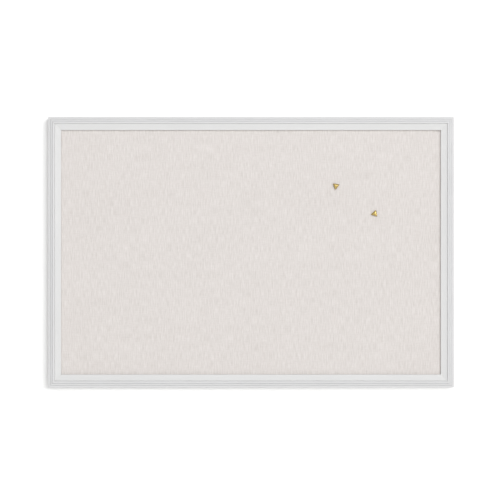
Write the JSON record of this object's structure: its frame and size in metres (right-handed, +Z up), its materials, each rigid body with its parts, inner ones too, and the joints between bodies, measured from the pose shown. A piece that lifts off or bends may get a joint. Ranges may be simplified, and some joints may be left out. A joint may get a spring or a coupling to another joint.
{
  "type": "bulletin board",
  "caption": "Landscape linen pin board in a white mitred moulding frame, with triangular brass push pins and D-ring wall hangers behind.",
  "frame": {"origin": "on the wall plane, behind the middle of the board", "axes": "+X to the right as seen from the front, +Y into the wall so that the front faces -Y, +Z up"},
  "size_m": [0.762, 0.0272, 0.508],
  "materials": {
    "white_paint": "satin",
    "linen": "matte",
    "soft_fibreboard": "matte",
    "hardboard": "satin",
    "zinc_steel": "satin",
    "needle_steel": "gloss",
    "brass": "polished",
    "bumper_rubber": "satin"
  },
  "bodies": {
    "board": {"top_rail": "white_paint", "bottom_rail": "white_paint", "left_stile": "white_paint", "right_stile": "white_paint", "linen_cover": "linen", "pin_panel": "soft_fibreboard", "backing_board": "hardboard", "v_nail_top_left_outer": "zinc_steel", "v_nail_top_left_inner": "zinc_steel", "v_nail_top_right_outer": "zinc_steel", "v_nail_top_right_inner": "zinc_steel", "v_nail_bottom_left_outer": "zinc_steel", "v_nail_bottom_left_inner": "zinc_steel", "v_nail_bottom_right_outer": "zinc_steel", "v_nail_bottom_right_inner": "zinc_steel", "flexible_point_top_1": "zinc_steel", "flexible_point_top_2": "zinc_steel", "flexible_point_top_3": "zinc_steel", "flexible_point_top_4": "zinc_steel", "flexible_point_bottom_1": "zinc_steel", "flexible_point_bottom_2": "zinc_steel", "flexible_point_bottom_3": "zinc_steel", "flexible_point_bottom_4": "zinc_steel", "flexible_point_left_1": "zinc_steel", "flexible_point_left_2": "zinc_steel", "flexible_point_left_3": "zinc_steel", "flexible_point_right_1": "zinc_steel", "flexible_point_right_2": "zinc_steel", "flexible_point_right_3": "zinc_steel", "hanger_strap_left": "zinc_steel", "hanger_strap_right": "zinc_steel", "hanger_screw_left": "zinc_steel", "hanger_screw_right": "zinc_steel", "bumper_top_left": "bumper_rubber", "bumper_top_right": "bumper_rubber", "bumper_bottom_left": "bumper_rubber", "bumper_bottom_right": "bumper_rubber"},
    "ring_left": {"hanger_ring_left": "zinc_steel"},
    "ring_right": {"hanger_ring_right": "zinc_steel"},
    "push_pin_upper": {"pin_head_upper": "brass", "pin_needle_upper": "needle_steel"},
    "push_pin_lower": {"pin_head_lower": "brass", "pin_needle_lower": "needle_steel"}
  },
  "joints": [
    {"name": "ring_left_swing", "type": "hinge", "parent": "board", "child": "ring_left", "pos_m": [-0.372, -0.0027, 0.132], "axis": [-1, 0, 0], "range_deg": [0, 165]},
    {"name": "ring_right_swing", "type": "hinge", "parent": "board", "child": "ring_right", "pos_m": [0.372, -0.0027, 0.132], "axis": [-1, 0, 0], "range_deg": [0, 165]},
    {"name": "push_pin_upper_pull", "type": "slide", "parent": "board", "child": "push_pin_upper", "axis": [0, -1, 0], "range_m": [0, 0.02]},
    {"name": "push_pin_lower_pull", "type": "slide", "parent": "board", "child": "push_pin_lower", "axis": [0, -1, 0], "range_m": [0, 0.02]}
  ]
}
